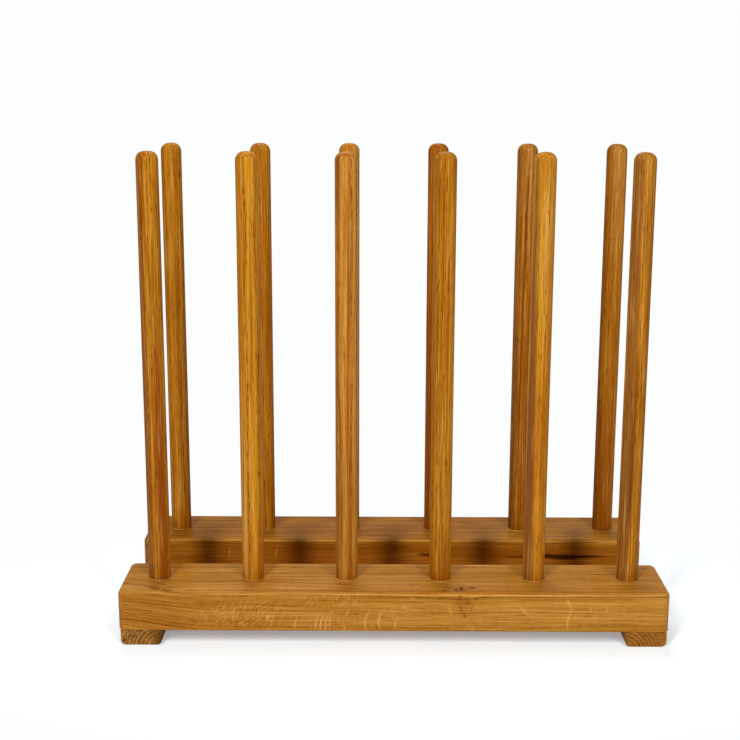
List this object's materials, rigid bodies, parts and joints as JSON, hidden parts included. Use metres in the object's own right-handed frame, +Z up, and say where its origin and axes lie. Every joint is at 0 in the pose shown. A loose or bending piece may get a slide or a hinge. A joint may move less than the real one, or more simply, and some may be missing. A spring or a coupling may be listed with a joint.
{
  "type": "boot rack",
  "caption": "Free-standing oak boot rack: two parallel rails with rows of upright round posts that hold boots upside down, on two cross runners.",
  "frame": {"origin": "middle of the footprint, on the floor", "axes": "+X along the rails to the right, +Y to the back, +Z up along the posts"},
  "size_m": [0.6, 0.26, 0.532],
  "materials": {
    "oak_rail": "satin varnished oak",
    "oak_runner": "satin varnished oak, sawn ends",
    "oak_post": "satin varnished oak dowel",
    "zinc_screw": "zinc plated"
  },
  "bodies": {
    "root": {"front_rail": "oak_rail", "rear_rail": "oak_rail", "left_runner": "oak_runner", "right_runner": "oak_runner", "front_post_1": "oak_post", "front_post_2": "oak_post", "front_post_3": "oak_post", "front_post_4": "oak_post", "front_post_5": "oak_post", "front_post_6": "oak_post", "rear_post_1": "oak_post", "rear_post_2": "oak_post", "rear_post_3": "oak_post", "rear_post_4": "oak_post", "rear_post_5": "oak_post", "rear_post_6": "oak_post", "screw_front_left_inner": "zinc_screw", "screw_front_left_outer": "zinc_screw", "screw_front_right_inner": "zinc_screw", "screw_front_right_outer": "zinc_screw", "screw_rear_left_inner": "zinc_screw", "screw_rear_left_outer": "zinc_screw", "screw_rear_right_inner": "zinc_screw", "screw_rear_right_outer": "zinc_screw"}
  },
  "joints": []
}
